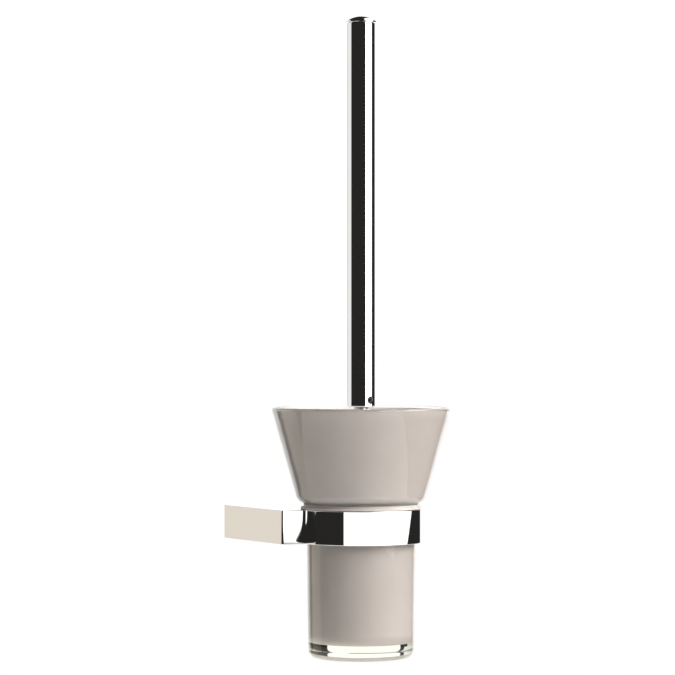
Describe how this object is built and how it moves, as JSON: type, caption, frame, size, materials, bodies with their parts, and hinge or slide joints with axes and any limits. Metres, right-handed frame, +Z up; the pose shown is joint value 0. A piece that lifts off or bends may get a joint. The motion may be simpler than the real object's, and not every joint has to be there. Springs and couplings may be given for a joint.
{
  "type": "toilet brush holder",
  "caption": "Wall-mounted toilet brush holder: a square arm with a round ring carries a flared glass cup, and a brush with a long tubular metal handle stands in the cup.",
  "frame": {"origin": "centre of the arm's back face, on the wall", "axes": "+Y into the wall, -Y out into the room, +X along the wall to the right, +Z up along the brush"},
  "size_m": [0.1072, 0.1304, 0.3849],
  "materials": {
    "chrome": "polished",
    "steel": "plain zinc-plated or stainless steel",
    "cup_glass": "clear, polished",
    "satin_coating": "satin, grey-white, on the inside of the glass",
    "liner_plastic": "translucent",
    "white_plastic": "moulded",
    "nylon": "bristles"
  },
  "bodies": {
    "bracket": {"holder_bracket": "chrome", "wall_bracket": "steel", "arm_set_screw": "steel", "ring_liner": "liner_plastic"},
    "cup": {"glass_cup": "cup_glass"},
    "brush": {"handle_tube": "chrome", "handle_cap": "chrome", "handle_ferrule": "white_plastic", "handle_set_screw": "steel", "brush_stem": "steel", "brush_core": "white_plastic", "side_bristles": "nylon", "tip_bristles": "nylon"}
  },
  "joints": [
    {"name": "cup_lift", "type": "slide", "parent": "bracket", "child": "cup", "axis": [0, 0, 1], "range_m": [0, 0.11]},
    {"name": "brush_lift", "type": "slide", "parent": "cup", "child": "brush", "axis": [0, 0, 1], "range_m": [0, 0.16]}
  ]
}
